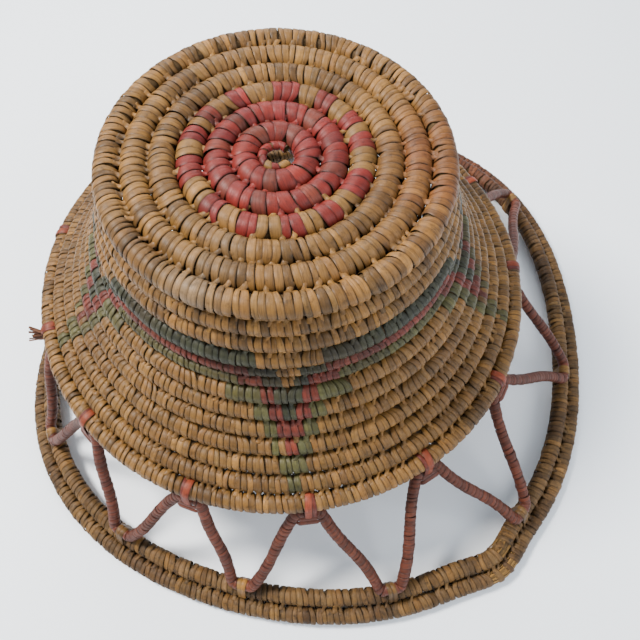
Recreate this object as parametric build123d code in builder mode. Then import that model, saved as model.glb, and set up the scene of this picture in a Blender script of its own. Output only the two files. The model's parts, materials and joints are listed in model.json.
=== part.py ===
"""Coiled palm-leaf hat: a flat-topped bell of wrapped coils carried by a zigzag of bent rods on a double rim.

Millimetres, +Z up. The rim rests on Z = 0 and its outline is centred on the Z axis. Azimuths are in degrees
from the front (-Y) towards +X. The bell stands a little off centre and leans, as the hand-made hat does.
"""

import os
from math import cos, exp, radians, sin

from build123d import *

# ---- driving dimensions ----
skirt_r = 125.0          # centreline radius of the skirt's edge coil
coil_d = 9.85            # a wall or skirt coil, wrapped
thin_coil_d = 6.1        # the two slim coils just below the neck
crown_coil_d = 11.9      # a crown coil, wrapped
rim_coil_d = 9.4         # a rim coil, wrapped
wrap_t = 1.0             # palm strip wound over a coil
clearance = 0.1          # each side of every wound or touching surface

edge_slope = 35.6        # degrees above the horizontal, from the edge coil to the next one
slope_gain = 0.76        # degrees per mm up the meridian
slope_ease = 0.00354     # degrees per square mm, takes the gain away towards the crown

bell_x, bell_y, bell_z = -9.8, 1.0, 73.0     # centre of the skirt's edge coil
lean_right, lean_front = 2.65, 2.55           # degrees

rim_r = 161.0                        # mean centreline radius
rim_x, rim_y = 9.4, -5.5             # centre the radii are measured from
rim_oval, rim_oval_dir = 0.065, -44.5
rim_lobe, rim_lobe_dir = 0.0556, 34.1
rim_kink, rim_kink_dir, rim_kink_width = 5.0, 30.0, 6.0
rim_back, rim_back_dir, rim_back_width = 21.0, -139.0, 34.0
rim_corners = 48
rim_corner_r = 24.0
rim_slope = 35.0                     # the upper coil lies in and up from the lower one at this angle
rim_flat = 0.35                      # worn flat along the underside
break_from, break_to = 28.0, 33.0    # azimuths where the lower rim coil has lost its wrap

rod_d = 5.7                          # wrapped rod
rod_wrap_t = 0.85
rod_bend_r = 3.3
rod_bend_run = 6.6                   # level run of rod each side of a tie
rod_end_gap = 0.1
apex_azimuths = [-78.3, -51.7, -23.0, 2.7, 30.4, 57.1, 88.7]      # about the bell's axis
foot_azimuths = [-71.9, -45.4, -19.5, 8.9, 39.8, 74.9, 124.0]     # about the rim's centre
rod_pairs = 13
tie_t = 0.8
tie_w = 4.4
tie_clearance = 0.15

# ---- derived sizes ----
coil_r, thin_r = coil_d / 2, thin_coil_d / 2
crown_r, rim_coil_r = crown_coil_d / 2, rim_coil_d / 2
rod_r = rod_d / 2
foot_drop = rim_coil_r - clearance - rim_flat
rim_low_z = foot_drop
rim_inset = rim_coil_d * cos(radians(rim_slope))
rim_rise = rim_coil_d * sin(radians(rim_slope))
rim_high_z = rim_low_z + rim_rise


def core_radius(r):
    return r - 2 * clearance - wrap_t


def meridian():
    """Centreline radius and height of every coil, from the skirt's edge up to the crown's outer coil."""
    sizes = [coil_r] * 7 + [thin_r] * 2 + [coil_r] * 3 + [crown_r]
    r, z, run = skirt_r, 0.0, 0.0
    rows = [(r, z, sizes[0])]
    for below, above in zip(sizes, sizes[1:]):
        slope = radians(edge_slope + slope_gain * run - slope_ease * run * run)
        step = below + above
        r, z, run = r - step * cos(slope), z + step * sin(slope), run + step
        rows.append((r, z, above))
    return rows


def fill_round(azimuths):
    """The measured azimuths, then the rest of the circle in even steps."""
    left = rod_pairs - len(azimuths) + 1
    step = (azimuths[0] + 360 - azimuths[-1]) / left
    return azimuths + [azimuths[-1] + step * (i + 1) for i in range(left - 1)]


def bulge(azimuth, size, direction, width):
    off = (azimuth - direction + 180) % 360 - 180
    return size * exp(-((off / width) ** 2))


def rim_outline(k):
    a = rim_kink_dir + k * 360 / rim_corners
    shape = 1 + rim_oval * cos(radians(2 * (a - rim_oval_dir))) + rim_lobe * cos(radians(3 * (a - rim_lobe_dir)))
    r = rim_r * shape + bulge(a, rim_kink, rim_kink_dir, rim_kink_width)
    r += bulge(a, rim_back, rim_back_dir, rim_back_width)
    return Vector(rim_x + r * sin(radians(a)), rim_y - r * cos(radians(a)), 0)


def rim_corner(k, inset=0.0):
    """Corner k of the lower coil's outline, or of one that lies inside it by the inset."""
    along = (rim_outline(k + 1) - rim_outline(k - 1)).normalized()
    return rim_outline(k) - along.cross(Vector(0, 0, 1)) * inset


def rim_at(azimuth, inset=0.0):
    """Point and level tangent on a rim centreline at an azimuth about the rim's centre."""
    k = (azimuth - rim_kink_dir) * rim_corners / 360
    a, b = rim_corner(int(k // 1), inset), rim_corner(int(k // 1) + 1, inset)
    return a + (b - a) * (k % 1), (b - a).normalized()


def rim_line(z, start, end):
    """Corners of the rim from one azimuth to another."""
    first = int(-(-(start - rim_kink_dir) * rim_corners // 360))
    last = int((end - rim_kink_dir) * rim_corners // 360)
    middle = [rim_corner(k) for k in range(first, last + 1)]
    ends = [rim_at(start)[0], rim_at(end)[0]]
    return [p + Vector(0, 0, z) for p in [ends[0]] + middle + [ends[1]]]


rows = meridian()
skirt_rows = rows[:10]          # from the edge up
wall_rows = rows[10:12]
crown_edge_r, crown_z, _ = rows[12]
crown_rows = [crown_edge_r - i * crown_coil_d for i in range(6)]
bell_axis = Vector(sin(radians(lean_right)), -sin(radians(lean_front)), cos(radians(lean_right)))
bell = Plane(origin=(bell_x, bell_y, bell_z), x_dir=(cos(radians(lean_right)), 0, -sin(radians(lean_right))),
             z_dir=bell_axis)

os.makedirs("parts", exist_ok=True)


def save(part, name):
    part.label = name
    export_step(part, f"parts/{name}.step")


# ---- crown: grass bundles ringed round a small curl ----
with BuildPart(bell) as crown_core:
    for r in crown_rows:
        with Locations((0, 0, crown_z)):
            Torus(r, core_radius(crown_r))
save(crown_core.part, "crown_core")

curl_r = 2.5
curl_gap = 70.0          # degrees left open, on the right
curl_line_r = crown_rows[-1] - crown_r - clearance - curl_r
curl_start = bell.x_dir * cos(radians(curl_gap / 2)) + bell.y_dir * sin(radians(curl_gap / 2))
with BuildPart() as crown_start_curl:
    with BuildSketch(Plane(origin=bell.origin, x_dir=curl_start, z_dir=curl_start.cross(bell.z_dir))):
        with Locations((curl_line_r, crown_z)):
            Circle(curl_r)
    revolve(axis=Axis(bell.origin, bell.z_dir), revolution_arc=360 - curl_gap)
save(crown_start_curl.part, "crown_start_curl")

crown_bands = {"crown_wrap_edge": crown_rows[:1], "crown_wrap_natural": crown_rows[1:3],
               "crown_wrap_mixed": crown_rows[3:4], "crown_wrap_red": crown_rows[4:]}
for name, radii in crown_bands.items():
    with BuildPart(bell) as crown_wrap:
        for r in radii:
            with Locations((0, 0, crown_z)):
                Torus(r, crown_r - clearance)
                Torus(r, crown_r - clearance - wrap_t, mode=Mode.SUBTRACT)
    save(crown_wrap.part, name)

# ---- wall and skirt: rings of bundle, each wound with strip ----
core_groups = {"wall_core": wall_rows}
for i in range(5):
    core_groups[f"skirt_core_{i + 1}"] = skirt_rows[2 * i:2 * i + 2]
for name, group in core_groups.items():
    with BuildPart(bell) as ring_core:
        for r, z, section in group:
            with Locations((0, 0, z)):
                Torus(r, core_radius(section))
    save(ring_core.part, name)

wrap_rows = {f"wall_wrap_{i + 1}": row for i, row in enumerate(wall_rows)}
wrap_rows |= {f"skirt_wrap_{i + 1:02d}": row for i, row in enumerate(skirt_rows)}
for name, (r, z, section) in wrap_rows.items():
    with BuildPart(bell) as ring_wrap:
        with Locations((0, 0, z)):
            Torus(r, section - clearance)
            Torus(r, section - clearance - wrap_t, mode=Mode.SUBTRACT)
    save(ring_wrap.part, name)

# ---- rim: two coils side by side on a wavering outline ----
upper_turn = [rim_corner(k, rim_inset) + Vector(0, 0, rim_high_z) for k in range(rim_corners)]
lower_turn = [rim_corner(k) + Vector(0, 0, rim_low_z) for k in range(rim_corners)]
for name, turn in {"rim_core_upper": upper_turn, "rim_core_lower": lower_turn}.items():
    with BuildPart() as rim_core:
        with BuildLine() as outline:
            FilletPolyline(*turn, radius=rim_corner_r, close=True)
        with BuildSketch(outline.line ^ 0):
            Circle(core_radius(rim_coil_r))
        sweep(path=outline.line)
    save(rim_core.part, name)

with BuildPart() as rim_wrap_upper:
    with BuildLine() as outline:
        FilletPolyline(*upper_turn, radius=rim_corner_r, close=True)
    with BuildSketch(outline.line ^ 0):
        Circle(rim_coil_r - clearance)
        Circle(rim_coil_r - clearance - wrap_t, mode=Mode.SUBTRACT)
    sweep(path=outline.line)
save(rim_wrap_upper.part, "rim_wrap_upper")

with BuildPart() as rim_wrap_lower:
    with BuildLine() as outline:
        FilletPolyline(*rim_line(rim_low_z, break_to, break_from + 360), radius=rim_corner_r)
    with BuildSketch(outline.line ^ 0):
        Circle(rim_coil_r - clearance)
        Circle(rim_coil_r - clearance - wrap_t, mode=Mode.SUBTRACT)
    sweep(path=outline.line)
    Box(3 * rim_r, 3 * rim_r, rim_coil_d, align=(Align.CENTER, Align.CENTER, Align.MAX), mode=Mode.SUBTRACT)
save(rim_wrap_lower.part, "rim_wrap_lower")

# ---- zigzag rods: bent level under the edge coil and again on top of the rim ----
under_edge = radians(72)      # direction from the edge coil's centre down to the rod's
grip = coil_r + rod_r + tie_clearance
foot_lift = rim_coil_r + rod_r + tie_clearance


def apex_at(azimuth):
    a = radians(azimuth)
    r = skirt_r + grip * cos(under_edge)
    place = bell.from_local_coords(Vector(r * sin(a), -r * cos(a), -grip * sin(under_edge)))
    along = bell.from_local_coords(Vector(cos(a), sin(a), 0)) - bell.origin
    return place, along.normalized()


def foot_at(azimuth):
    place, along = rim_at(azimuth, rim_inset)
    return place + Vector(0, 0, rim_high_z + foot_lift), along


apexes = [apex_at(a) for a in fill_round(apex_azimuths)]
feet = [foot_at(a) for a in fill_round(foot_azimuths)]


def rod_corners(start, end):
    (p, t), (q, u) = start, end
    return [p + t * rod_end_gap, p + t * rod_bend_run, q - u * rod_bend_run, q - u * rod_end_gap]


runs = []
for i in range(rod_pairs):
    runs.append(rod_corners(apexes[i], feet[i]))
    runs.append(rod_corners(feet[i], apexes[(i + 1) % rod_pairs]))

for i, corners in enumerate(runs):
    with BuildPart() as rod:
        with BuildLine() as run:
            FilletPolyline(*corners, radius=rod_bend_r)
        with BuildSketch(run.line ^ 0):
            Circle(rod_r - rod_wrap_t - clearance)
        sweep(path=run.line)
    save(rod.part, f"zigzag_rod_{i + 1:02d}")

with BuildPart() as zigzag_wraps:
    for corners in runs:
        with BuildLine() as run:
            FilletPolyline(*corners, radius=rod_bend_r)
        with BuildSketch(run.line ^ 0):
            Circle(rod_r)
            Circle(rod_r - rod_wrap_t, mode=Mode.SUBTRACT)
        sweep(path=run.line)
save(zigzag_wraps.part, "zigzag_wraps")

# ---- ties: a strap round coil and rod at each bend, cut clear of the coil behind ----
next_r, next_z, next_section = skirt_rows[1]
with BuildPart() as apex_loops:
    for azimuth in fill_round(apex_azimuths):
        a = radians(azimuth)
        outward = bell.from_local_coords(Vector(sin(a), -cos(a), 0)) - bell.origin
        along = bell.from_local_coords(Vector(cos(a), sin(a), 0)) - bell.origin
        centre = bell.from_local_coords(Vector(skirt_r * sin(a), -skirt_r * cos(a), 0))
        rod_offset = (grip * cos(under_edge), -grip * sin(under_edge))
        with BuildSketch(Plane(origin=centre, x_dir=outward, z_dir=-along)):
            for grow, mode in ((tie_clearance + tie_t, Mode.ADD), (tie_clearance, Mode.SUBTRACT)):
                with BuildSketch(mode=mode):
                    Circle(coil_r + grow)
                    with Locations(rod_offset):
                        Circle(rod_r + grow)
                    make_hull()
            with Locations((next_r - skirt_r, next_z)):
                Circle(next_section + clearance, mode=Mode.SUBTRACT)
        extrude(amount=tie_w / 2, both=True)
save(apex_loops.part, "apex_loops")

with BuildPart() as foot_ties:
    for azimuth in fill_round(foot_azimuths):
        place, along = rim_at(azimuth, rim_inset)
        outward = along.cross(Vector(0, 0, 1))
        with BuildSketch(Plane(origin=place + Vector(0, 0, rim_high_z), x_dir=outward, z_dir=-along)):
            for grow, mode in ((tie_clearance + tie_t, Mode.ADD), (tie_clearance, Mode.SUBTRACT)):
                with BuildSketch(mode=mode):
                    Circle(rim_coil_r + grow)
                    with Locations((0, foot_lift)):
                        Circle(rod_r + grow)
                    make_hull()
            with Locations((rim_inset, -rim_rise)):
                Circle(rim_coil_r + clearance, mode=Mode.SUBTRACT)
        extrude(amount=tie_w / 2, both=True)
save(foot_ties.part, "foot_ties")
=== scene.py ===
"""Coiled palm-leaf hat: every coil, rod and tie is wound with separate strips of leaf."""

import json
from math import cos, pi, radians, sin

import bpy
import numpy as np
from mathutils import Matrix, Vector, noise


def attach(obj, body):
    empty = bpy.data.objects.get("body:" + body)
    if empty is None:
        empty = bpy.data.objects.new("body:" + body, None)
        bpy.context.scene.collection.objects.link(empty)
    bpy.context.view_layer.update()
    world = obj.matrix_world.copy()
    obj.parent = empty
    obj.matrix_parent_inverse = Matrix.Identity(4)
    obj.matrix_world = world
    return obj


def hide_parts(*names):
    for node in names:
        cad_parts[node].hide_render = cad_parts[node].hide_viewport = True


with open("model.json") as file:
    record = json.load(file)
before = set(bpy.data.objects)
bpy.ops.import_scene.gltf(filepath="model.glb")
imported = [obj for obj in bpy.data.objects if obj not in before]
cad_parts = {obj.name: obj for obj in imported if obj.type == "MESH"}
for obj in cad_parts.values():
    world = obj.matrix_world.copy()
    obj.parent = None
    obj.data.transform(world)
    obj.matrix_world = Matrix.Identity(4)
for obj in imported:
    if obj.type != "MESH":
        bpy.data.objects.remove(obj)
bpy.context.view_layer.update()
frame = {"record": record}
rng = np.random.default_rng(7)
MM = 0.001
UP = np.array([0, 0, 1.0])

# ---- the part's driving dimensions, mm and degrees ----
SKIRT_R, COIL_D, THIN_D, CROWN_D, RIM_D = 125.0, 9.85, 6.1, 11.9, 9.4
EDGE_SLOPE, SLOPE_GAIN, SLOPE_EASE = 35.6, 0.76, 0.00354
BELL = np.array([-9.8, 1.0, 73.0])
LEAN_RIGHT, LEAN_FRONT = radians(2.65), radians(2.55)
RIM_R, RIM_CENTRE = 161.0, np.array([9.4, -5.5, 0.0])
RIM_OVAL, RIM_OVAL_DIR = 0.065, -44.5
RIM_LOBE, RIM_LOBE_DIR = 0.0556, 34.1
RIM_KINK = (5.0, 30.0, 6.0)
RIM_BACK = (21.0, -139.0, 34.0)
RIM_WORN_FLAT = 0.45
RIM_LOW_Z = RIM_D / 2 - RIM_WORN_FLAT
RIM_SLOPE = radians(35.0)
RIM_INSET = RIM_D * cos(RIM_SLOPE)
RIM_HIGH_Z = RIM_LOW_Z + RIM_D * sin(RIM_SLOPE)
BREAK = (28.0, 33.0)
ROD_D, ROD_RUN, TIE_GAP = 5.7, 6.6, 0.15
APEX_AZIMUTHS = [-78.3, -51.7, -23.0, 2.7, 30.4, 57.1, 88.7]
FOOT_AZIMUTHS = [-71.9, -45.4, -19.5, 8.9, 39.8, 74.9, 124.0]
ROD_PAIRS = 13
LINE_AZIMUTHS = np.arange(0, 360, 0.5)
NEW_GROUP_CHANCE = 0.47     # chance that a strip starts a new group at the coil's side
FLOOR_CLEARANCE = 0.05

# ---- leaf colours, sRGB ----
NATURAL = (124, 87, 41)
NATURAL_DULL = (101, 71, 34)
NATURAL_BROWN = (65, 40, 19)
RED_CROWN = (112, 34, 27)
RED_SKIRT = (96, 40, 28)
OLIVE = (76, 71, 38)
DARK_GREEN = (50, 49, 32)
ROD_RED = (89, 44, 29)
LOOP_RED = (128, 56, 32)
RIM_TAN = (100, 72, 38)
STRAW = (128, 95, 50)
FRAYED = (96, 62, 44)
ROD_DARK = (100, 50, 33)
STAIN_BROWN, STAIN_GREY = (128, 70, 36), (128, 108, 84)
FLOOR_WHITE = (248, 251, 255)


def linear(rgb):
    c = np.array(rgb, float) / 255
    return np.where(c <= 0.04045, c / 12.92, ((c + 0.055) / 1.055) ** 2.4)


# ---- bell and rim lines ----
bell_axis = np.array([sin(LEAN_RIGHT), -sin(LEAN_FRONT), cos(LEAN_RIGHT)])
bell_axis /= np.linalg.norm(bell_axis)
bell_x = np.array([cos(LEAN_RIGHT), 0, -sin(LEAN_RIGHT)])
bell_x -= bell_axis * (bell_x @ bell_axis)
bell_x /= np.linalg.norm(bell_x)
bell_y = np.cross(bell_axis, bell_x)


def unit(v):
    return v / np.linalg.norm(v, axis=-1, keepdims=True)


def meridian():
    """(radius, height, coil radius) of every coil, from the skirt's edge up and in to the crown's middle."""
    sizes = [COIL_D / 2] * 7 + [THIN_D / 2] * 2 + [COIL_D / 2] * 3 + [CROWN_D / 2]
    r, z, run = SKIRT_R, 0.0, 0.0
    out = [(r, z, sizes[0])]
    for below, above in zip(sizes, sizes[1:]):
        slope = radians(EDGE_SLOPE + SLOPE_GAIN * run - SLOPE_EASE * run * run)
        step = below + above
        r, z, run = r - step * cos(slope), z + step * sin(slope), run + step
        out.append((r, z, above))
    return out + [(r - CROWN_D * k, z, CROWN_D / 2) for k in range(1, 6)]


coils = meridian()
CROWN_EDGE = 12


def bell_out(azimuth):
    a = np.radians(np.asarray(azimuth, float))[..., None]
    return bell_x * np.sin(a) - bell_y * np.cos(a)


def bell_along(azimuth):
    a = np.radians(np.asarray(azimuth, float))[..., None]
    return bell_x * np.cos(a) + bell_y * np.sin(a)


def bulge(azimuth, size, direction, width):
    off = (azimuth - direction + 180) % 360 - 180
    return size * np.exp(-((off / width) ** 2))


def rim_point(azimuth, inset=0.0):
    if inset:
        t = unit(rim_point(azimuth + 1) - rim_point(azimuth - 1))
        return rim_point(azimuth) - np.cross(t, UP) * inset
    a = np.asarray(azimuth, float)
    shape = 1 + RIM_OVAL * np.cos(np.radians(2 * (a - RIM_OVAL_DIR))) \
        + RIM_LOBE * np.cos(np.radians(3 * (a - RIM_LOBE_DIR)))
    r = RIM_R * shape + bulge(a, *RIM_KINK) + bulge(a, *RIM_BACK)
    t = np.radians(a)
    return RIM_CENTRE + np.stack([r * np.sin(t), -r * np.cos(t), 0 * r], -1)


class Line:
    """A sampled centreline with an outward and a sideways direction at each point."""

    def __init__(self, points, outward, closed=True):
        p = np.asarray(points, float)
        self.closed = closed
        if closed:
            p = np.vstack([p, p[:1]])
            outward = np.vstack([outward, outward[:1]])
            t = unit(np.vstack([p[1:], p[1:2]]) - np.vstack([p[-2:-1], p[:-1]]))
        else:
            t = unit(np.gradient(p, axis=0))
        n = outward - t * (outward * t).sum(1, keepdims=True)
        self.p, self.t, self.n = p, t, unit(n)
        self.s = np.concatenate([[0], np.cumsum(np.linalg.norm(np.diff(p, axis=0), axis=1))])
        self.length = self.s[-1]

    def at(self, s):
        s = np.asarray(s, float)
        s = s % self.length if self.closed else np.clip(s, 0, self.length)
        pick = lambda v: np.stack([np.interp(s, self.s, v[:, i]) for i in range(3)], -1)
        n, t = unit(pick(self.n)), unit(pick(self.t))
        return pick(self.p), t, n, np.cross(t, n)

    def beside(self, other, s):
        """Position along a line sampled alike that is level with s on this one."""
        sample = np.interp(s % self.length, self.s, np.arange(len(self.s)))
        return np.interp(sample, np.arange(len(other.s)), other.s)


def bell_line(row, normal):
    r, z, _ = coils[row]
    out = bell_out(LINE_AZIMUTHS)
    return Line(BELL + out * r + bell_axis * z, out * normal[0] + bell_axis * normal[1])


def gap_normal(row):
    """Outward normal, as (radial, axial), of the valley between a coil and the next one in."""
    (r0, z0, _), (r1, z1, _) = coils[row], coils[row + 1]
    d = unit(np.array([r1 - r0, z1 - z0]))
    return np.array([d[1], -d[0]])


def coil_normal(row):
    if row == 0:
        return gap_normal(0)
    if row == len(coils) - 1:
        return gap_normal(row - 1)
    return unit(gap_normal(row - 1) + gap_normal(row))


# ---- meshes ----
class Sheets:
    """Grids of points collected into one mesh, with a colour, a strip coordinate and an edge value each."""

    def __init__(self):
        self.co, self.quads, self.tint, self.strip, self.edge, self.count = [], [], [], [], [], 0

    def add(self, co, tint, strip, edge):
        """co is (n, rows, columns, 3); tint is (n, 3) or (n, rows, columns, 3)."""
        n, h, w, _ = co.shape
        index = np.arange(n * h * w).reshape(n, h, w) + self.count
        quads = np.stack([index[:, :-1, :-1], index[:, :-1, 1:], index[:, 1:, 1:], index[:, 1:, :-1]], -1)
        if tint.ndim == 2:
            tint = np.broadcast_to(tint[:, None, None, :], co.shape)
        self.co.append(co.reshape(-1, 3))
        self.quads.append(quads.reshape(-1, 4))
        self.tint.append(tint.reshape(-1, 3))
        self.strip.append(strip.reshape(-1, 3))
        self.edge.append(np.broadcast_to(edge, co.shape[:3]).reshape(-1))
        self.count += n * h * w

    def build(self, name, material, slot, nodes):
        co, quads = np.concatenate(self.co), np.concatenate(self.quads)
        co[:, 2] = np.maximum(co[:, 2], FLOOR_CLEARANCE)      # the underside is worn flat
        co = co * MM
        mesh = bpy.data.meshes.new(name)
        mesh.vertices.add(len(co))
        mesh.vertices.foreach_set("co", co.astype(np.float32).ravel())
        mesh.loops.add(quads.size)
        mesh.loops.foreach_set("vertex_index", quads.astype(np.int32).ravel())
        mesh.polygons.add(len(quads))
        mesh.polygons.foreach_set("loop_start", np.arange(0, quads.size, 4, dtype=np.int32))
        mesh.polygons.foreach_set("use_smooth", np.ones(len(quads), bool))
        tint = np.concatenate([np.concatenate(self.tint), np.ones((len(co), 1))], 1)
        mesh.attributes.new("tint", "FLOAT_COLOR", "POINT").data.foreach_set(
            "color", tint.astype(np.float32).ravel())
        mesh.attributes.new("strip", "FLOAT_VECTOR", "POINT").data.foreach_set(
            "vector", np.concatenate(self.strip).astype(np.float32).ravel())
        mesh.attributes.new("edge", "FLOAT", "POINT").data.foreach_set(
            "value", np.concatenate(self.edge).astype(np.float32))
        mesh.update(calc_edges=True)
        mesh.validate()
        mesh.materials.append(material)
        piece = bpy.data.objects.new(name, mesh)
        bpy.context.scene.collection.objects.link(piece)
        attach(piece, "root")
        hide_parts(*nodes)


def strip_cuts(length, width, jitter):
    """Positions of the joints between neighbouring strips, and their spacing."""
    count = max(3, int(round(length / width)))
    cuts = np.arange(count) * length / count
    return cuts + rng.uniform(-jitter, jitter, count) * length / count, length / count


def wind(sheets, line, radius, width, colour_of, around=20, across=6, dip=0.3, lift=0.2, skip=None,
         pinch=0.2, jitter=0.17):
    """Winds strips round a line, each leaning by its own width on the way round and drawn together in small
    groups at the sides. Returns the middles of the groups where they leave towards the next coil."""
    cuts, pitch = strip_cuts(line.length, width, jitter)
    if not line.closed:
        cuts[0] = 0
    ends = np.append(cuts[1:], cuts[0] + line.length)
    n = len(cuts)
    group = np.cumsum(rng.random(n) < NEW_GROUP_CHANCE)
    if not pinch:
        group = np.arange(n)
    first = np.full(group[-1] + 1, 1e9)
    last = np.full(group[-1] + 1, -1e9)
    np.minimum.at(first, group, cuts)
    np.maximum.at(last, group, ends)
    centre = ((first + last) / 2)[group]
    centres = (first + last)[last > first] / 2
    if skip is not None:
        keep = ~skip((cuts + ends) / 2)
        cuts, ends, centre = cuts[keep], ends[keep], centre[keep]
    n = len(cuts)
    angle = np.linspace(-pi, pi, around + 1)
    u = np.linspace(-1, 1, across + 1)
    u = np.sign(u) * np.abs(u) ** 0.7
    mid, half = (cuts + ends) / 2, (ends - cuts) / 2
    wobble = rng.normal(0, 0.07, (n, 1)) * np.sin(angle + rng.uniform(0, 2 * pi, (n, 1)))
    flat = mid[:, None, None] + half[:, None, None] * u[None, None, :]
    draw = 1 - pinch * np.abs(np.sin(angle))[None, :, None] ** 4
    s = centre[:, None, None] + (flat - centre[:, None, None]) * draw \
        + pitch * (angle / (2 * pi) + wobble)[:, :, None]
    grow = rng.normal(0, 0.08, n)[:, None, None]
    tilt = rng.uniform(-0.2, 1.0, n)[:, None, None] * lift
    ripple = 0.08 * np.sin(2 * angle[None, :, None] + rng.uniform(0, 6, n)[:, None, None])
    fold = 0.07 * rng.uniform(-1, 1, (n, 1, 1)) * np.sin(pi * u)[None, None, :]
    profile = -dip * np.abs(u) ** 6 + tilt * u + fold
    r = radius + grow + ripple + profile
    p, t, nn, bb = line.at(s)
    co = p + nn * (r * np.cos(angle)[None, :, None])[..., None] \
        + bb * (r * np.sin(angle)[None, :, None])[..., None]
    strip = np.stack([np.broadcast_to(u * half[:, None, None], s.shape),
                      np.broadcast_to(radius * angle[None, :, None], s.shape),
                      np.broadcast_to(np.arange(n)[:, None, None] * 3.7, s.shape)], -1)
    sheets.add(co, colour_of(mid), strip, np.abs(u)[None, None, :])
    return centres - pitch / 4


def bundle_tube(sheets, line, radius, colour, around=10):
    """The grass bundle inside a coil, seen only in the gaps between strips."""
    steps = int(line.length / 2.5)
    s = np.linspace(0, line.length - (0.001 if line.closed else 0), steps)
    angle = np.linspace(-pi, pi, around + 1)
    p, t, nn, bb = line.at(s[:, None] * np.ones(around + 1))
    co = p + radius * (nn * np.cos(angle)[None, :, None] + bb * np.sin(angle)[None, :, None])
    strip = np.stack([np.broadcast_to(radius * angle, (steps, around + 1)),
                      np.broadcast_to(s[:, None], (steps, around + 1)), np.zeros((steps, around + 1))], -1)
    sheets.add(co[None], np.array(colour)[None], strip[None], np.zeros((1, steps, around + 1)))


def knots(sheets, line, r_line, other, r_other, s, colours, outward):
    """Short binding strips over the valley between two neighbouring coils, on both faces."""
    pa, t, _, _ = line.at(s)
    pb = other.at(line.beside(other, s))[0]
    gap = np.linalg.norm(pb - pa, axis=-1, keepdims=True)
    d = (pb - pa) / gap
    normal = unit(np.cross(t, d))
    normal = normal * np.sign((normal * outward(pa)).sum(-1, keepdims=True))
    mid = pa + d * gap * r_line / (r_line + r_other)
    size, n = min(r_line, r_other), len(s)
    x, u = np.linspace(-1, 1, 11)[None, :, None], np.linspace(-1, 1, 6)[None, None, :]

    def spread(low, high):
        return rng.uniform(low, high, n)[:, None, None]

    for face in (1, -1):
        reach = size * spread(0.36, 0.48)
        low = size * spread(0.46, 0.60)
        half = size * spread(0.20, 0.32) if size > 4 else size * spread(0.26, 0.38)
        top = np.sqrt(np.maximum(size ** 2 - (size - reach) ** 2, 0)) + 0.1
        h = low + (top - low) * x ** 2 - 0.16 * size * np.abs(x) ** 12
        h = h - 0.12 * size * np.abs(u) ** 3
        along = half * u * (0.86 + 0.3 * x ** 2) + x * size * spread(-0.1, 0.3)
        across = reach * x + 0 * u
        co = mid[:, None, None] + d[:, None, None] * across[..., None] + t[:, None, None] * along[..., None] \
            + face * normal[:, None, None] * h[..., None]
        strip = np.stack([along, across + 0 * along, np.arange(n)[:, None, None] * 5.3 + 0 * along], -1)
        sheets.add(co, colours(s), strip, np.abs(u) + 0 * along)


def jitter_tint(base, n, value=0.16, hue=0.06):
    """Leaf colours scattered round a base, in lightness and from yellow to brown: base is (n, 3) linear."""
    warm = rng.normal(0, hue, (n, 1)) * np.array([0.3, -0.1, -1.6])
    change = rng.normal(0, value, (n, 1)) + warm + rng.normal(0, hue * 0.25, (n, 3))
    return np.clip(np.array(base, float) * np.exp(change), 0.004, 0.95)


def stained(colour, points, amount=0.75, size=26.0, seed=0.0):
    """Browned patches from a slow noise over the surface."""
    brown = linear(NATURAL_BROWN)
    out = colour.copy()
    for i, p in enumerate(points):
        v = noise.noise(Vector(p / size) + Vector((seed, 3.1, 7.7)))
        w = amount * max(0.0, min(1.0, (v - 0.08) * 2.6))
        out[i] = out[i] * (1 - w) + out[i] * 0.25 * w + brown * 0.55 * w
    return out


def mottle(n, base, other, share):
    pick = rng.random(n) < share
    return np.where(pick[:, None], linear(other), linear(base))


# ---- which strip is what colour ----
MOTIF_STEP = 72.0
# Each skirt row from the top: bands outwards from a motif's middle, (half width in degrees, colour).
MOTIF = {
    9: [(9.5, NATURAL), (99, DARK_GREEN)],
    8: [(3.0, NATURAL), (11.5, DARK_GREEN), (99, RED_SKIRT)],
    7: [(2.2, NATURAL), (6.2, DARK_GREEN), (15.0, RED_SKIRT), (99, OLIVE)],
    6: [(3.3, DARK_GREEN), (8.4, RED_SKIRT), (17.0, OLIVE), (99, NATURAL)],
    5: [(1.5, DARK_GREEN), (5.2, RED_SKIRT), (9.6, OLIVE), (99, NATURAL)],
    4: [(2.9, RED_SKIRT), (7.2, OLIVE), (99, NATURAL)],
    3: [(1.1, RED_SKIRT), (2.4, NATURAL), (4.8, OLIVE), (99, NATURAL)],
    2: [(2.5, OLIVE), (99, NATURAL)],
    1: [(0.9, OLIVE), (99, NATURAL)],
}


def row_colours(row, azimuth):
    """Linear colour of each strip of a bell coil, by its azimuth."""
    n = len(azimuth)
    if row in MOTIF:
        off = np.abs((azimuth + MOTIF_STEP / 2) % MOTIF_STEP - MOTIF_STEP / 2)
        out = np.zeros((n, 3))
        done = np.zeros(n, bool)
        for limit, colour in MOTIF[row]:
            take = (off <= limit) & ~done
            out[take] = linear(colour)
            done |= take
        dull = np.all(np.isclose(out, linear(NATURAL)), axis=1)
        out[dull] = linear(NATURAL) * 0.55 + linear(NATURAL_DULL) * 0.45
        return jitter_tint(out, n, 0.17, 0.05)
    if row >= CROWN_EDGE + 4:
        return jitter_tint(mottle(n, RED_CROWN, RED_SKIRT, 0.25), n, 0.12, 0.05)
    if row == CROWN_EDGE + 3:
        wave = np.sin(np.radians(azimuth) * 13 + 1.2 * np.sin(np.radians(azimuth) * 3))
        out = np.where((wave > -0.05)[:, None], linear(RED_CROWN), linear(NATURAL))
        return jitter_tint(out, n, 0.13, 0.05)
    return jitter_tint(mottle(n, NATURAL, NATURAL_DULL, 0.3), n, 0.15, 0.045)


def azimuth_of(points):
    v = points - BELL
    return np.degrees(np.arctan2(v @ bell_x, -(v @ bell_y)))


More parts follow.
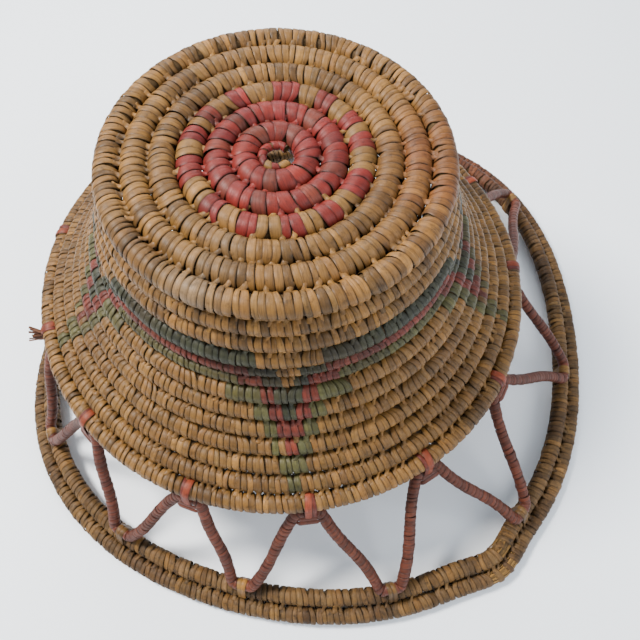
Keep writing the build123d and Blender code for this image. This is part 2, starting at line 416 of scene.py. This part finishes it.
def blemish(row, azimuth, colour):
    """Dark handling stains on the crown's outer coils."""
    if row < CROWN_EDGE or row > CROWN_EDGE + 2:
        return colour
    depth = row - CROWN_EDGE
    right = bulge(azimuth, 0.75, 82.0, 24.0) * (1.0 if depth < 2 else 0.3)
    right = right * (0.55 + 0.45 * rng.random(len(azimuth)))
    front = bulge(azimuth, 0.5, -28.0, 9.0) * (1.0 if depth == 0 else 0.35)
    out = colour * (1 - right[:, None]) + linear(STAIN_BROWN) * right[:, None]
    return out * (1 - front[:, None]) + linear(STAIN_GREY) * front[:, None]


def bell_colours(row, line):
    def colours(s):
        points = line.at(s)[0]
        azimuth = azimuth_of(points)
        out = blemish(row, azimuth, row_colours(row, azimuth))
        return stained(out, points, 0.6 if row >= CROWN_EDGE else 0.45)
    return colours


# ---- materials ----
def leaf_material(name, rough=0.5, fibre=0.42, crease_shade=0.72, dirt=0.35, bump=0.5):
    m = bpy.data.materials.new(name)
    m.use_nodes = True
    nt = m.node_tree
    nodes, links = nt.nodes, nt.links
    nodes.clear()

    def node(kind, **inputs):
        nd = nodes.new(kind)
        for key, value in inputs.items():
            nd.inputs[key.replace("_", " ")].default_value = value
        return nd

    def attribute(attr):
        nd = nodes.new("ShaderNodeAttribute")
        nd.attribute_name = attr
        return nd

    def mapped(source, scale):
        nd = node("ShaderNodeMapping", Scale=scale)
        links.new(source, nd.inputs["Vector"])
        return nd.outputs["Vector"]

    def noise_of(vector, scale, detail=3.0, roughness=0.55):
        nd = node("ShaderNodeTexNoise", Scale=scale, Detail=detail, Roughness=roughness)
        links.new(vector, nd.inputs["Vector"])
        return nd.outputs["Fac"]

    def ramp(source, low, high, to_low, to_high):
        nd = nodes.new("ShaderNodeMapRange")
        for key, value in (("From Min", low), ("From Max", high), ("To Min", to_low), ("To Max", to_high)):
            nd.inputs[key].default_value = value
        links.new(source, nd.inputs["Value"])
        return nd.outputs["Result"]

    def math(op, a, b):
        nd = nodes.new("ShaderNodeMath")
        nd.operation = op
        for i, v in enumerate((a, b)):
            if isinstance(v, (int, float)):
                nd.inputs[i].default_value = v
            else:
                links.new(v, nd.inputs[i])
        return nd.outputs["Value"]

    tint = attribute("tint").outputs["Color"]
    strip = attribute("strip").outputs["Vector"]
    edge = attribute("edge").outputs["Fac"]
    place = nodes.new("ShaderNodeTexCoord").outputs["Object"]

    fine = noise_of(mapped(strip, (3.0, 0.14, 1.0)), 1.0, 5.0, 0.65)
    coarse = noise_of(mapped(strip, (0.9, 0.08, 1.0)), 1.0, 2.0)
    split = noise_of(mapped(strip, (2.1, 0.05, 1.3)), 1.0, 1.0)
    smudge = noise_of(place, 330.0, 3.0, 0.6)
    patch = noise_of(place, 95.0, 4.0, 0.65)
    speck = noise_of(place, 900.0, 2.0)

    fibres = ramp(fine, 0.3, 0.7, 1 - fibre, 1 + fibre * 0.6)
    shade = math("MULTIPLY", fibres, ramp(coarse, 0.3, 0.7, 0.86, 1.12))
    shade = math("MULTIPLY", shade, ramp(patch, 0.42, 0.68, 1.0, 1 - dirt))
    shade = math("MULTIPLY", shade, ramp(speck, 0.62, 0.74, 1.0, 0.8))
    shade = math("MULTIPLY", shade, ramp(smudge, 0.56, 0.70, 1.0, 1 - dirt * 1.1))
    shade = math("MULTIPLY", shade, ramp(split, 0.66, 0.72, 1.0, 0.6))
    # painted shade: each strip darkens towards its edges, where it meets its neighbours
    shade = math("MULTIPLY", shade, ramp(math("POWER", edge, 7.0), 0.0, 1.0, 1.0, 1 - crease_shade))

    scaled = nodes.new("ShaderNodeVectorMath")
    scaled.operation = "SCALE"
    links.new(tint, scaled.inputs[0])
    links.new(shade, scaled.inputs["Scale"])

    height = math("ADD", math("MULTIPLY", fine, 0.7), math("MULTIPLY", coarse, 0.5))
    bumped = node("ShaderNodeBump", Strength=bump, Distance=0.0003)
    links.new(height, bumped.inputs["Height"])

    bsdf = node("ShaderNodeBsdfPrincipled", IOR=1.45)
    bsdf.inputs["Specular IOR Level"].default_value = 0.3
    links.new(scaled.outputs["Vector"], bsdf.inputs["Base Color"])
    links.new(ramp(fine, 0.3, 0.7, rough + 0.12, rough - 0.08), bsdf.inputs["Roughness"])
    links.new(bumped.outputs["Normal"], bsdf.inputs["Normal"])
    output = nodes.new("ShaderNodeOutputMaterial")
    links.new(bsdf.outputs["BSDF"], output.inputs["Surface"])
    return m


leaf = leaf_material("palm_leaf")
dyed = leaf_material("dyed_leaf", rough=0.5, fibre=0.32, dirt=0.3)
worn = leaf_material("worn_leaf", rough=0.62, fibre=0.45, dirt=0.5, bump=0.7)
straw = leaf_material("dry_grass", rough=0.7, fibre=0.5, dirt=0.3, bump=0.6)

# ---- crown, wall and skirt ----
SLOT = {entry["node"]: entry["material_slot"] for entry in frame["record"]["subparts"]}
CROWN_STRIP, MIXED_STRIP, RED_STRIP, SKIRT_STRIP, THIN_STRIP = 3.4, 4.2, 5.4, 3.0, 2.7
EDGE_STRIP, THIN_ROWS = 3.3, (7, 8)
CROWN_FULL, SKIRT_FULL = 1.04, 0.97      # share of its space that a wound coil fills
bundles = Sheets()
# the grass bundle's straw colour, darkened to paint the shade in the gaps between strips
BUNDLE_PAINTED_SHADE = linear(STRAW) * 0.35


def bell_outward(points):
    """Away from the hollow inside of the bell."""
    return points - (BELL + bell_axis * 20)


def bell_piece(name, rows, width, material, around=20):
    sheets = Sheets()
    for row in rows:
        line = bell_line(row, coil_normal(row))
        size = coils[row][2]
        full = CROWN_FULL if row > CROWN_EDGE else SKIRT_FULL
        centres = wind(sheets, line, size * full, width, bell_colours(row, line), around=around,
                       dip=0.32 if size > 4 else 0.22)
        bundle_tube(bundles, line, size * 0.78, BUNDLE_PAINTED_SHADE)
        if row + 1 < len(coils):
            other = bell_line(row + 1, coil_normal(row + 1))
            knots(sheets, line, size, other, coils[row + 1][2], centres, bell_colours(row, line),
                  bell_outward)
    sheets.build(name, material, SLOT[name], [name])


bell_piece("crown_wrap_edge", [12], EDGE_STRIP, leaf, around=24)
bell_piece("crown_wrap_natural", [13, 14], CROWN_STRIP, leaf, around=24)
bell_piece("crown_wrap_mixed", [15], MIXED_STRIP, dyed, around=24)
bell_piece("crown_wrap_red", [16, 17], RED_STRIP, dyed, around=24)
for i in range(2):
    bell_piece(f"wall_wrap_{i + 1}", [10 + i], SKIRT_STRIP, leaf)
for row in range(10):
    bell_piece(f"skirt_wrap_{row + 1:02d}", [row], THIN_STRIP if row in THIN_ROWS else SKIRT_STRIP,
               leaf if row < 2 else dyed)
bundles.build("coil_bundles", straw, "grass_bundle",
              ["crown_core", "wall_core"] + [f"skirt_core_{i + 1}" for i in range(5)])

# the curl that the crown's coil starts from, open on the right
CURL_D, CURL_GAP = 4.2, 80.0
curl_outer = coils[-1][0] - CROWN_D / 2
a = np.linspace(90 + CURL_GAP / 2, 450 - CURL_GAP / 2, 90)
curl_line = Line(BELL + bell_out(a) * (curl_outer - CURL_D / 2 + 0.4) + bell_axis * (coils[-1][1] + 1.8),
                 np.tile(bell_axis, (len(a), 1)), closed=False)
curl = Sheets()
wind(curl, curl_line, CURL_D / 2, 3.6, lambda s: jitter_tint(mottle(len(s), RED_CROWN, NATURAL, 0.3), len(s)),
     around=14, pinch=0)
bundle_tube(curl, curl_line, CURL_D / 2 * 0.8, BUNDLE_PAINTED_SHADE)
curl.build("crown_start_curl", dyed, SLOT["crown_start_curl"], ["crown_start_curl"])


# ---- rim ----
def rim_line(z, inset):
    p = rim_point(LINE_AZIMUTHS, inset) + UP * z
    t = unit(np.roll(p, -1, 0) - np.roll(p, 1, 0))
    return Line(p, np.cross(t, UP) * sin(RIM_SLOPE) + UP * cos(RIM_SLOPE))


def rim_azimuth(points):
    v = points - RIM_CENTRE
    return np.degrees(np.arctan2(v[:, 0], -v[:, 1]))


def rim_colours(line):
    def colours(s):
        p = line.at(s)[0]
        n = len(s)
        base = mottle(n, RIM_TAN, NATURAL_DULL, 0.35)
        red = bulge(rim_azimuth(p), 0.8, 140.0, 17.0)[:, None]
        base = base * (1 - red) + linear(ROD_RED) * red
        return stained(jitter_tint(base, n, 0.18, 0.05), p, 0.7, 18.0, 5.0)
    return colours


RIM_STRIP = 3.0
UPPER_GAP = (31.6, 33.4)
low, high = rim_line(RIM_LOW_Z, 0.0), rim_line(RIM_HIGH_Z, RIM_INSET)


def between(line, limits, share):
    """Picks strips that are missing: a share of those between two azimuths."""
    def pick(s):
        az = rim_azimuth(line.at(s)[0])
        return (az > limits[0]) & (az < limits[1]) & (rng.random(len(s)) < share)
    return pick


RIM_WOUND_R = RIM_D / 2 * 0.95
upper, lower = Sheets(), Sheets()
wind(upper, high, RIM_WOUND_R, RIM_STRIP, rim_colours(high), around=18,
     skip=between(high, UPPER_GAP, 1))
binding = wind(lower, low, RIM_WOUND_R, RIM_STRIP, rim_colours(low), around=18,
               skip=between(low, BREAK, 0.62))
knots(lower, low, RIM_D / 2, high, RIM_D / 2, binding, rim_colours(low),
      lambda p: np.tile(UP, (len(p), 1)))
upper.build("rim_wrap_upper", worn, SLOT["rim_wrap_upper"], ["rim_wrap_upper"])
lower.build("rim_wrap_lower", worn, SLOT["rim_wrap_lower"], ["rim_wrap_lower"])


def tube(points, radius, sides=6):
    """A thin tube round points (k, 3); radius is a number or one per point. Returns (1, k, sides+1, 3)."""
    p = np.asarray(points, float)
    t = unit(np.gradient(p, axis=0))
    ref = np.array([0.31, 0.22, 0.92])
    n = unit(np.cross(t, ref))
    b = np.cross(t, n)
    a = np.linspace(0, 2 * pi, sides + 1)
    r = np.broadcast_to(radius, len(p))[:, None, None]
    ring = n[:, None, :] * np.cos(a)[None, :, None] + b[:, None, :] * np.sin(a)[None, :, None]
    return (p[:, None, :] + r * ring)[None]


def add_tube(sheets, points, radius, colour, sides=6):
    co = tube(points, radius, sides)
    k, w = co.shape[1:3]
    run = np.linspace(0, 1, k)[:, None] * np.ones(w) * 20
    strip = np.stack([np.ones((k, 1)) * np.linspace(0, 3, w), run, np.full((k, w), rng.uniform(0, 90))], -1)
    sheets.add(co, np.array(colour)[None], strip[None], np.zeros((1, k, w)))


def stalks(sheets, limits, inset, z, count):
    """Loose stalks of the grass bundle between two azimuths of the rim."""
    for _ in range(count):
        ring, turn = np.sqrt(rng.random()) * (RIM_D / 2 - 1.2), rng.uniform(0, 2 * pi)
        az = np.linspace(limits[0] - 3, limits[1] + 3, 9)
        p = rim_point(az, inset) + np.array([0, 0, z])
        t = unit(np.gradient(p, axis=0))
        out = np.cross(t, np.array([0, 0, 1.0]))
        w = (ring + 0.7 * np.sin(np.linspace(0, pi, 9)) * rng.uniform(0.2, 1.2))[:, None]
        p = p + out * w * cos(turn) + np.array([0, 0, 1.0]) * w * sin(turn) + rng.normal(0, 0.12, (9, 3))
        p[:, 2] = np.maximum(p[:, 2], 0.7)
        add_tube(sheets, p, rng.uniform(0.28, 0.55), jitter_tint(linear(STRAW)[None] * 0.8, 1, 0.25)[0], 5)


# the bundle shows bare where the rim has lost strips
lower_bundle, upper_bundle = Sheets(), Sheets()
bundle_tube(lower_bundle, low, RIM_D / 2 * 0.72, BUNDLE_PAINTED_SHADE)
stalks(lower_bundle, BREAK, 0.0, RIM_LOW_Z, 110)
lower_bundle.build("rim_core_lower", straw, SLOT["rim_core_lower"], ["rim_core_lower"])
bundle_tube(upper_bundle, high, RIM_D / 2 * 0.72, BUNDLE_PAINTED_SHADE)
stalks(upper_bundle, UPPER_GAP, RIM_INSET, RIM_HIGH_Z, 60)


def loose_strip(sheets, start, heading, rise, length, width, colour):
    """A torn strip end that lifts off and curls over."""
    f = np.linspace(0, 1, 9)
    heading, rise = unit(np.array(heading, float)), unit(np.array(rise, float))
    spine = start + heading * (length * f)[:, None] + rise * (length * 0.5 * np.sin(f * 2.3))[:, None]
    side = unit(np.cross(heading, rise))
    u = np.linspace(-1, 1, 4)
    half = width / 2 * (1 - 0.55 * f ** 2)
    co = spine[:, None] + side * (half[:, None] * u)[..., None] - rise * (0.25 * u ** 2)[None, :, None]
    run = np.broadcast_to(length * f[:, None], (9, 4))
    strip = np.stack([half[:, None] * u, run, np.full((9, 4), 7.0)], -1)
    sheets.add(co[None], np.array(colour)[None], strip[None], np.broadcast_to(np.abs(u), (1, 9, 4)))


for az, lean, size in ((31.4, 1, 3.2), (33.6, -1, 3.4), (31.6, 1, 2.6), (33.4, -1, 4.2)):
    p = rim_point(az, RIM_INSET) + np.array([0, 0, RIM_HIGH_Z])
    t = unit(rim_point(az + 1) - rim_point(az - 1))
    out = np.cross(t, np.array([0, 0, 1.0]))
    start = p + out * rng.uniform(-1.5, 1.5) + np.array([0, 0, RIM_D / 2 * 0.8])
    loose_strip(upper_bundle, start, t * lean * 0.5 - out * rng.uniform(0.2, 0.8), (0, 0, 1), size, 2.8,
                jitter_tint(linear(RIM_TAN)[None], 1, 0.1)[0])
upper_bundle.build("rim_core_upper", straw, SLOT["rim_core_upper"], ["rim_core_upper"])


# ---- zigzag rods ----
def fill_round(azimuths):
    left = ROD_PAIRS - len(azimuths) + 1
    step = (azimuths[0] + 360 - azimuths[-1]) / left
    return azimuths + [azimuths[-1] + step * (i + 1) for i in range(left - 1)]


under = radians(72)
grip = COIL_D / 2 + ROD_D / 2 + TIE_GAP
foot_lift = RIM_D / 2 + ROD_D / 2 + TIE_GAP
apex_azimuths, foot_azimuths = fill_round(APEX_AZIMUTHS), fill_round(FOOT_AZIMUTHS)


def apex_at(az):
    out = bell_out(az)
    return BELL + out * (SKIRT_R + grip * cos(under)) - bell_axis * grip * sin(under), bell_along(az)


def foot_at(az):
    p = rim_point(az, RIM_INSET)
    t = unit(rim_point(az + 1) - rim_point(az - 1))
    return p + np.array([0, 0, RIM_HIGH_Z + foot_lift]), t


corners = []
for i in range(ROD_PAIRS):
    for place, along in (apex_at(apex_azimuths[i]), foot_at(foot_azimuths[i])):
        corners += [place - along * ROD_RUN * 0.8, place, place + along * ROD_RUN * 0.8]
corners = np.array(corners)
legs = np.linalg.norm(np.roll(corners, -1, 0) - corners, axis=1)
path = []
for i, p in enumerate(corners):
    q = corners[(i + 1) % len(corners)]
    steps = max(2, int(round(legs[i] / 0.8)))
    f = np.arange(steps)[:, None] / steps
    piece = p + (q - p) * f
    if legs[i] > 20:
        side = unit(np.cross(q - p, np.array([0, 0, 1.0])))
        piece = piece + side * np.sin(2 * pi * f) * rng.uniform(0.5, 1.4) \
            + side * np.sin(pi * f) * rng.normal(0, 0.7)
    path.append(piece)
path = np.concatenate(path)
kernel = np.exp(-(np.arange(-6, 7) / 2.6) ** 2)
kernel /= kernel.sum()
padded = np.vstack([path[-6:], path, path[:6]])
path = np.stack([np.convolve(padded[:, i], kernel, "valid") for i in range(3)], -1)
outward = unit((path - BELL) * np.array([1, 1, 0.0]) + np.array([0, 0, 40.0]))
rod_line = Line(path, outward)


def rod_colours(s):
    p = rod_line.at(s)[0]
    n = len(s)
    base = jitter_tint(mottle(n, ROD_RED, ROD_DARK, 0.3), n, 0.09, 0.03)
    return stained(base, p, 0.35, 22.0, 9.0)


rods = Sheets()
ROD_STRIP = 2.5
wind(rods, rod_line, ROD_D / 2 + 0.1, ROD_STRIP, rod_colours, around=12, across=5, dip=0.2, lift=0.1,
     pinch=0, jitter=0.2)
# the rod's core in rod red, darkened to paint the shade in the gaps between strips
bundle_tube(rods, rod_line, ROD_D / 2 * 0.8, linear(ROD_RED) * 0.35)
rods.build("zigzag_wraps", dyed, SLOT["zigzag_wraps"],
           ["zigzag_wraps"] + [f"zigzag_rod_{i + 1:02d}" for i in range(2 * ROD_PAIRS)])


# ---- ties ----
def strap(sheets, centre, along, first, second, colour, width, offset, loose=0.35, tilt=0.0):
    """A strip pulled round two round sections, each given as (place in the section's plane, radius)."""
    x_dir, y_dir = centre[1], centre[2]
    g = np.linspace(0, 2 * pi, 41)
    direction = np.stack([np.cos(g), np.sin(g)], -1)
    options = np.stack([np.array(c)[None] + direction * (r + loose) for c, r in (first, second)])
    reach = (options * direction).sum(-1)
    outline = np.where((reach[0] > reach[1])[:, None], options[0], options[1])
    u = np.linspace(-1, 1, 6)
    bulge_out = -0.32 * np.abs(u) ** 3
    co = centre[0] + x_dir * (outline[:, None, 0:1] + direction[:, None, 0:1] * bulge_out[None, :, None]) \
        + y_dir * (outline[:, None, 1:2] + direction[:, None, 1:2] * bulge_out[None, :, None]) \
        + along * ((u * width / 2 + offset)[None, :, None] + tilt * np.cos(g)[:, None, None])
    run = np.broadcast_to(np.linspace(0, 55, 41)[:, None], (41, 6))
    strip = np.stack([np.broadcast_to(u * width / 2, (41, 6)), run, np.full((41, 6), rng.uniform(0, 99))], -1)
    sheets.add(co[None], np.array(colour)[None], strip[None], np.abs(u)[None, None, :])


loops = Sheets()
for i, az in enumerate(apex_azimuths):
    out, along = bell_out(az), bell_along(az)
    centre = (BELL + out * SKIRT_R, out, bell_axis)
    rod = ((grip * cos(under), -grip * sin(under)), ROD_D / 2)
    coil = ((0, 0), COIL_D / 2)
    strap(loops, centre, along, coil, rod, jitter_tint(linear(LOOP_RED)[None], 1, 0.1)[0], 3.6,
          rng.normal(0, 0.3), 0.7, rng.normal(0, 0.5))
    strap(loops, centre, along, coil, rod, jitter_tint(linear(RED_SKIRT)[None], 1, 0.1)[0], 2.2,
          rng.choice([-2.4, 2.4]), 0.4, rng.normal(0, 0.4))
    # a collar of strip draws the two rods together just below the bend
    place = apex_at(az)[0]
    before, after = foot_at(foot_azimuths[i - 1])[0], foot_at(foot_azimuths[i])[0]
    down = unit(unit(before - place) + unit(after - place))
    across = unit(along - down * (along @ down))
    for j in range(2):
        spread = 3.0 + 0.35 * j
        middle = (place + down * (2.6 + 2.3 * j), across, np.cross(across, down))
        strap(loops, middle, down, ((-spread, 0), ROD_D / 2 - 0.3), ((spread, 0), ROD_D / 2 - 0.3),
              jitter_tint(linear(ROD_RED)[None], 1, 0.12)[0], 2.4, 0, 0.3, rng.normal(0, 0.3))

# the first bend's frayed end stands out to the left
place, along = apex_at(apex_azimuths[0])
out = bell_out(apex_azimuths[0])
for j in range(26):
    start = place + along * rng.uniform(-1.5, 1.5) + bell_axis * rng.uniform(1.0, 5.0) + out * 2.0
    heading = unit(out * 1.0 - along * rng.uniform(-0.1, 0.5) + bell_axis * rng.uniform(-0.15, 0.5))
    f = np.linspace(0, 1, 6)[:, None]
    fibre = start + heading * f * rng.uniform(4, 9) + bell_axis * 0.8 * f ** 2
    add_tube(loops, fibre, rng.uniform(0.35, 0.8), jitter_tint(linear(FRAYED)[None], 1, 0.3)[0], 5)
loops.build("apex_loops", dyed, SLOT["apex_loops"], ["apex_loops"])

ties = Sheets()
for az in foot_azimuths:
    place, along = foot_at(az)
    out = np.cross(along, np.array([0, 0, 1.0]))
    centre = (place - np.array([0, 0, foot_lift]), out, np.array([0, 0, 1.0]))
    for j in range(2):
        colour = jitter_tint(mottle(1, NATURAL, NATURAL_DULL, 0.4), 1, 0.15)[0]
        strap(ties, centre, along, ((0, 0), RIM_D / 2), ((0, foot_lift), ROD_D / 2), colour,
              rng.uniform(2.2, 3.0), (j - 0.5) * 2.1 + rng.normal(0, 0.2), 0.45, rng.normal(0, 0.5))
ties.build("foot_ties", leaf, SLOT["foot_ties"], ["foot_ties"])

# ---- floor, light and camera ----
scene = bpy.context.scene


def plain_material(name, colour, rough):
    m = bpy.data.materials.new(name)
    m.use_nodes = True
    b = m.node_tree.nodes["Principled BSDF"]
    b.inputs["Base Color"].default_value = (*linear(colour), 1)
    b.inputs["Roughness"].default_value = rough
    return m


floor_mesh = bpy.data.meshes.new("floor")
floor_mesh.from_pydata([(-4, -4, 0), (4, -4, 0), (4, 4, 0), (-4, 4, 0)], [], [(0, 1, 2, 3)])
floor_mesh.materials.append(plain_material("floor", FLOOR_WHITE, 0.7))
floor = bpy.data.objects.new("floor", floor_mesh)
scene.collection.objects.link(floor)


def area_light(name, place, target, size, power, colour):
    data = bpy.data.lights.new(name, "AREA")
    data.shape, data.size, data.energy, data.color = "DISK", size, power, colour
    light = bpy.data.objects.new(name, data)
    scene.collection.objects.link(light)
    light.location = place
    light.rotation_euler = (Vector(target) - Vector(place)).to_track_quat("-Z", "Y").to_euler()


area_light("key", (-0.55, 0.10, 0.95), (0, 0, 0.1), 0.30, 25.0, (1.0, 0.98, 0.94))
area_light("fill", (0.80, -0.6, 0.8), (0, 0, 0.05), 0.8, 10.0, (0.93, 0.96, 1.0))
area_light("back", (0.0, 0.9, 0.7), (0, 0, 0.05), 0.8, 8.0, (0.94, 0.97, 1.0))
world = bpy.data.worlds.new("studio")
scene.world = world
world.use_nodes = True
world.node_tree.nodes["Background"].inputs["Color"].default_value = (0.80, 0.90, 1.0, 1)
world.node_tree.nodes["Background"].inputs["Strength"].default_value = 0.85

# Camera: elevation, roll, distance, offset in its own plane, and focal length in picture widths.
ELEVATION, ROLL, DISTANCE, OFFSET, FOCAL = radians(59.17), -0.0777, 0.4643, (-0.0044, 0.01715), 1.15625
back = Vector((0, -cos(ELEVATION), sin(ELEVATION)))
side, rise = Vector((1, 0, 0)), Vector((0, sin(ELEVATION), cos(ELEVATION)))
right = side * cos(ROLL) + rise * sin(ROLL)
up = rise * cos(ROLL) - side * sin(ROLL)
camera = bpy.data.objects.new("camera", bpy.data.cameras.new("camera"))
scene.collection.objects.link(camera)
centre = Vector(RIM_CENTRE * MM) + back * DISTANCE + right * OFFSET[0] + up * OFFSET[1]
camera.matrix_world = Matrix.Translation(centre) @ Matrix((right, up, back)).transposed().to_4x4()
SENSOR = 36
camera.data.sensor_width = SENSOR
camera.data.lens = SENSOR * FOCAL
camera.data.shift_x = 0.00625
camera.data.clip_start = 0.01
scene.camera = camera

bpy.context.view_layer.update()
